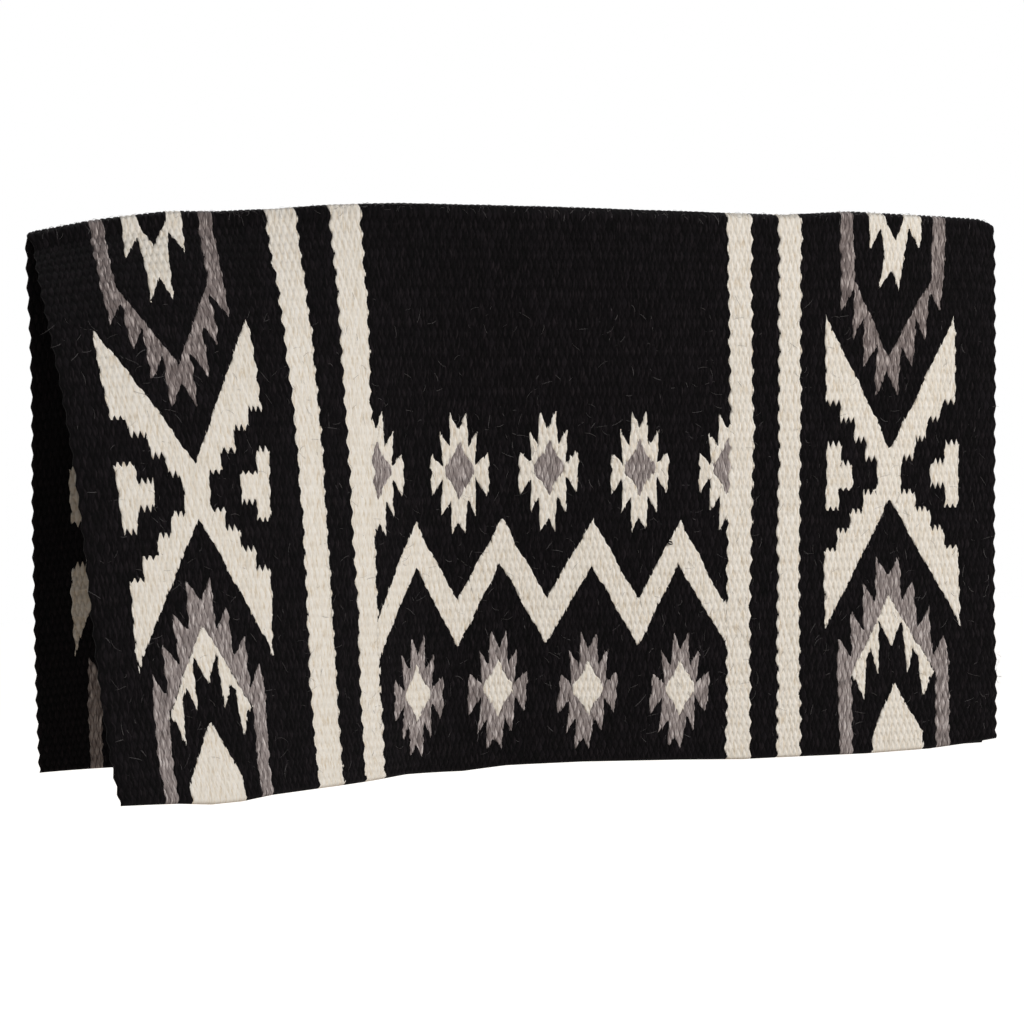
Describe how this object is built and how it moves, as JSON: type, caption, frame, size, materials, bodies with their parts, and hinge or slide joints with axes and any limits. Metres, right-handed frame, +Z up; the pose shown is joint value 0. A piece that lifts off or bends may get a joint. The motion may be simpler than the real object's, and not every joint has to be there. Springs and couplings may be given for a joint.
{
  "type": "saddle blanket",
  "caption": "Wool tapestry saddle blanket folded in half over its hanging rail, with striped side bands, stepped crosses, serrate diamonds and a zigzag in cream and grey on black.",
  "frame": {"origin": "middle of the underside of the fold, where the blanket rests on its rail", "axes": "+X along the fold towards the right-hand edge, -Y out of the front half, +Z up"},
  "size_m": [0.862, 0.3196, 0.4954],
  "materials": {
    "black_wool": "matte handspun wool weft, black",
    "cream_wool": "matte handspun wool weft, heathered cream",
    "grey_wool": "matte handspun wool weft, heather grey"
  },
  "bodies": {
    "ridge": {"ridge_centre_ground": "black_wool", "ridge_left_black_stripe": "black_wool", "ridge_left_ground": "black_wool", "ridge_left_inner_stripe": "cream_wool", "ridge_left_outer_stripe": "cream_wool", "ridge_right_black_stripe": "black_wool", "ridge_right_ground": "black_wool", "ridge_right_inner_stripe": "cream_wool", "ridge_right_outer_stripe": "cream_wool"},
    "front_flap": {"front_centre_ground_lower": "black_wool", "front_centre_ground_upper": "black_wool", "front_left_black_stripe": "black_wool", "front_left_feathered_chevron": "grey_wool", "front_left_feathered_v": "grey_wool", "front_left_forked_star": "cream_wool", "front_left_ground": "black_wool", "front_left_hem_triangle": "cream_wool", "front_left_inner_comb": "cream_wool", "front_left_inner_stripe": "cream_wool", "front_left_outer_comb": "cream_wool", "front_left_outer_stripe": "cream_wool", "front_left_stepped_cross": "cream_wool", "front_left_toothed_chevron": "cream_wool", "front_lower_diamond_1": "grey_wool", "front_lower_diamond_2": "grey_wool", "front_lower_diamond_3": "grey_wool", "front_lower_diamond_4": "grey_wool", "front_right_black_stripe": "black_wool", "front_right_feathered_chevron": "grey_wool", "front_right_feathered_v": "grey_wool", "front_right_forked_star": "cream_wool", "front_right_ground": "black_wool", "front_right_hem_triangle": "cream_wool", "front_right_inner_comb": "cream_wool", "front_right_inner_stripe": "cream_wool", "front_right_outer_comb": "cream_wool", "front_right_outer_stripe": "cream_wool", "front_right_stepped_cross": "cream_wool", "front_right_toothed_chevron": "cream_wool", "front_upper_diamond_1": "cream_wool", "front_upper_diamond_2": "cream_wool", "front_upper_diamond_3": "cream_wool", "front_zigzag": "cream_wool"},
    "rear_flap": {"rear_centre_ground_lower": "black_wool", "rear_centre_ground_upper": "black_wool", "rear_left_black_stripe": "black_wool", "rear_left_feathered_v": "grey_wool", "rear_left_forked_star": "cream_wool", "rear_left_ground": "black_wool", "rear_left_inner_stripe": "cream_wool", "rear_left_outer_stripe": "cream_wool", "rear_left_stepped_cross": "cream_wool", "rear_right_black_stripe": "black_wool", "rear_right_feathered_v": "grey_wool", "rear_right_forked_star": "cream_wool", "rear_right_ground": "black_wool", "rear_right_inner_stripe": "cream_wool", "rear_right_outer_stripe": "cream_wool", "rear_right_stepped_cross": "cream_wool", "rear_zigzag": "cream_wool"}
  },
  "joints": [
    {"name": "front_flap_lift", "type": "hinge", "parent": "ridge", "child": "front_flap", "pos_m": [0, -0.00925, -0.00275], "axis": [-1, 0, 0], "range_deg": [0, 90]},
    {"name": "rear_flap_lift", "type": "hinge", "parent": "ridge", "child": "rear_flap", "pos_m": [0, 0.00925, -0.00275], "axis": [1, 0, 0], "range_deg": [0, 90]}
  ]
}
